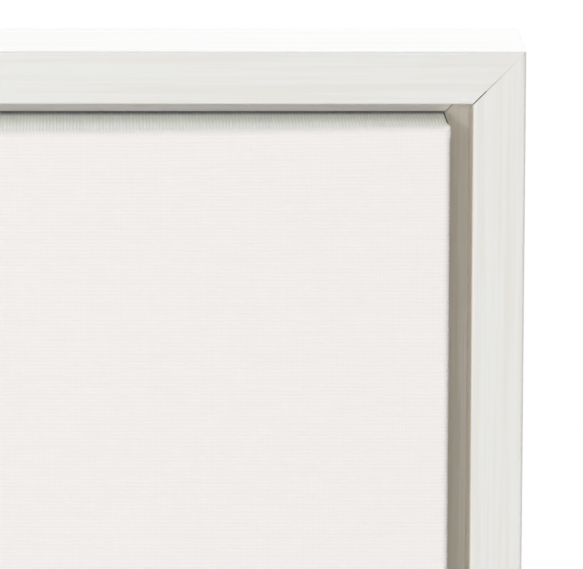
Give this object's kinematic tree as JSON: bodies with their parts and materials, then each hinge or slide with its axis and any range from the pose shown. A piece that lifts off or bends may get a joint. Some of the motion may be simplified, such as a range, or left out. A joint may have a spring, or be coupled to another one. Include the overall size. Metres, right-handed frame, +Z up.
{
  "type": "stretched canvas",
  "caption": "Blank primed canvas on keyed stretcher bars, floating in a white-washed L-shaped frame with a shadow gap, screwed from behind, with ring hangers on the back.",
  "frame": {"origin": "middle of the frame's underside, at the middle of its depth", "axes": "+Z up the canvas, -Y out of its painted front, +X to the right as seen from the front"},
  "size_m": [0.2302, 0.0344, 0.281],
  "materials": {
    "frame_wood": "white-washed",
    "bar_wood": "planed, bare",
    "key_wood": "sawn, bare",
    "canvas_cotton": "primed, matt",
    "staple_steel": "bright wire",
    "screw_steel": "zinc plated",
    "v_nail_steel": "blank strip",
    "hanger_steel": "zinc plated"
  },
  "bodies": {
    "framed_canvas": {"bottom_frame_rail": "frame_wood", "right_frame_rail": "frame_wood", "top_frame_rail": "frame_wood", "left_frame_rail": "frame_wood", "bottom_stretcher_bar": "bar_wood", "right_stretcher_bar": "bar_wood", "top_stretcher_bar": "bar_wood", "left_stretcher_bar": "bar_wood", "bottom_staple_1": "staple_steel", "bottom_staple_2": "staple_steel", "bottom_staple_3": "staple_steel", "bottom_staple_4": "staple_steel", "right_staple_1": "staple_steel", "right_staple_2": "staple_steel", "right_staple_3": "staple_steel", "right_staple_4": "staple_steel", "right_staple_5": "staple_steel", "right_staple_6": "staple_steel", "top_staple_1": "staple_steel", "top_staple_2": "staple_steel", "top_staple_3": "staple_steel", "top_staple_4": "staple_steel", "left_staple_1": "staple_steel", "left_staple_2": "staple_steel", "left_staple_3": "staple_steel", "left_staple_4": "staple_steel", "left_staple_5": "staple_steel", "left_staple_6": "staple_steel", "bottom_mounting_screw_1": "screw_steel", "bottom_mounting_screw_2": "screw_steel", "right_mounting_screw_1": "screw_steel", "right_mounting_screw_2": "screw_steel", "top_mounting_screw_1": "screw_steel", "top_mounting_screw_2": "screw_steel", "left_mounting_screw_1": "screw_steel", "left_mounting_screw_2": "screw_steel", "bottom_left_v_nail_1": "v_nail_steel", "bottom_left_v_nail_2": "v_nail_steel", "bottom_right_v_nail_1": "v_nail_steel", "bottom_right_v_nail_2": "v_nail_steel", "top_left_v_nail_1": "v_nail_steel", "top_left_v_nail_2": "v_nail_steel", "top_right_v_nail_1": "v_nail_steel", "top_right_v_nail_2": "v_nail_steel", "left_hanger_strap": "hanger_steel", "right_hanger_strap": "hanger_steel", "left_hanger_screw": "screw_steel", "right_hanger_screw": "screw_steel", "canvas_cloth": "canvas_cotton"},
    "bottom_left_key_upright": {"bottom_left_key_upright": "key_wood"},
    "bottom_left_key_level": {"bottom_left_key_level": "key_wood"},
    "bottom_right_key_upright": {"bottom_right_key_upright": "key_wood"},
    "bottom_right_key_level": {"bottom_right_key_level": "key_wood"},
    "top_left_key_upright": {"top_left_key_upright": "key_wood"},
    "top_left_key_level": {"top_left_key_level": "key_wood"},
    "top_right_key_upright": {"top_right_key_upright": "key_wood"},
    "top_right_key_level": {"top_right_key_level": "key_wood"},
    "left_hanger_ring": {"left_hanger_ring": "hanger_steel"},
    "right_hanger_ring": {"right_hanger_ring": "hanger_steel"}
  },
  "joints": [
    {"name": "bottom_left_key_upright_slide", "type": "slide", "parent": "framed_canvas", "child": "bottom_left_key_upright", "axis": [0, 0, 1], "range_m": [0, 0.015]},
    {"name": "bottom_left_key_level_slide", "type": "slide", "parent": "framed_canvas", "child": "bottom_left_key_level", "axis": [1, 0, 0], "range_m": [0, 0.015]},
    {"name": "bottom_right_key_upright_slide", "type": "slide", "parent": "framed_canvas", "child": "bottom_right_key_upright", "axis": [0, 0, 1], "range_m": [0, 0.015]},
    {"name": "bottom_right_key_level_slide", "type": "slide", "parent": "framed_canvas", "child": "bottom_right_key_level", "axis": [-1, 0, 0], "range_m": [0, 0.015]},
    {"name": "top_left_key_upright_slide", "type": "slide", "parent": "framed_canvas", "child": "top_left_key_upright", "axis": [0, 0, -1], "range_m": [0, 0.015]},
    {"name": "top_left_key_level_slide", "type": "slide", "parent": "framed_canvas", "child": "top_left_key_level", "axis": [1, 0, 0], "range_m": [0, 0.015]},
    {"name": "top_right_key_upright_slide", "type": "slide", "parent": "framed_canvas", "child": "top_right_key_upright", "axis": [0, 0, -1], "range_m": [0, 0.015]},
    {"name": "top_right_key_level_slide", "type": "slide", "parent": "framed_canvas", "child": "top_right_key_level", "axis": [-1, 0, 0], "range_m": [0, 0.015]},
    {"name": "left_hanger_ring_swing", "type": "hinge", "parent": "framed_canvas", "child": "left_hanger_ring", "pos_m": [-0.10134, 0.01735, 0.196], "axis": [0, 0, 1], "range_deg": [0, 160]},
    {"name": "right_hanger_ring_swing", "type": "hinge", "parent": "framed_canvas", "child": "right_hanger_ring", "pos_m": [0.10134, 0.01735, 0.196], "axis": [0, 0, -1], "range_deg": [0, 160]}
  ]
}
